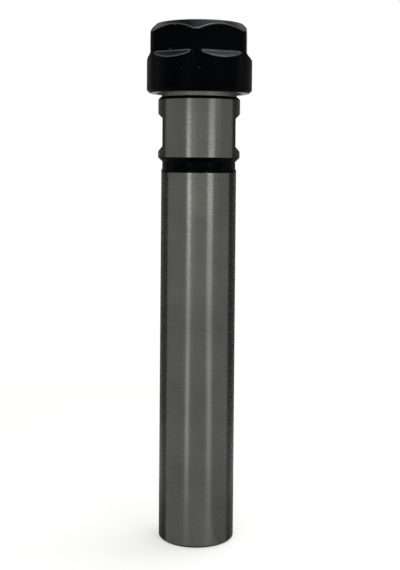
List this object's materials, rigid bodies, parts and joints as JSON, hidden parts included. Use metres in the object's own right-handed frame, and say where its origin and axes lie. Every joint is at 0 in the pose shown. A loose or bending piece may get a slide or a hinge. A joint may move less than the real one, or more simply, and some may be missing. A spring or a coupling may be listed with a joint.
{
  "type": "collet chuck holder",
  "caption": "Straight-shank collet chuck holder: ground steel shank and collar with wrench flats, spring collet and black hexagon clamping nut.",
  "frame": {"origin": "centre of the shank's end face, where the holder stands", "axes": "+Z along the axis of shank, collet and nut, from the shank's end towards the nut; +X out through one wrench flat of the collar"},
  "size_m": [0.028, 0.028, 0.137],
  "materials": {
    "ground_steel": "hardened tool steel, ground, satin",
    "spring_steel": "spring steel, fine ground",
    "black_oxide_steel": "steel, black oxide, oiled"
  },
  "bodies": {
    "holder": {"chuck_body": "ground_steel"},
    "spring_collet": {"collet": "spring_steel"},
    "nut": {"clamping_nut": "black_oxide_steel"}
  },
  "joints": [
    {"name": "collet_draw", "type": "slide", "parent": "holder", "child": "spring_collet", "axis": [0, 0, 1], "range_m": [0, 0.0075]},
    {"name": "nut_turn", "type": "hinge", "parent": "spring_collet", "child": "nut", "pos_m": [0, 0, 0.128], "axis": [0, 0, 1], "range_deg": [0, 1800]}
  ],
  "couplings": [
    {"joint": "collet_draw", "follows": "nut_turn", "m_per_rad": 0.00023873}
  ]
}
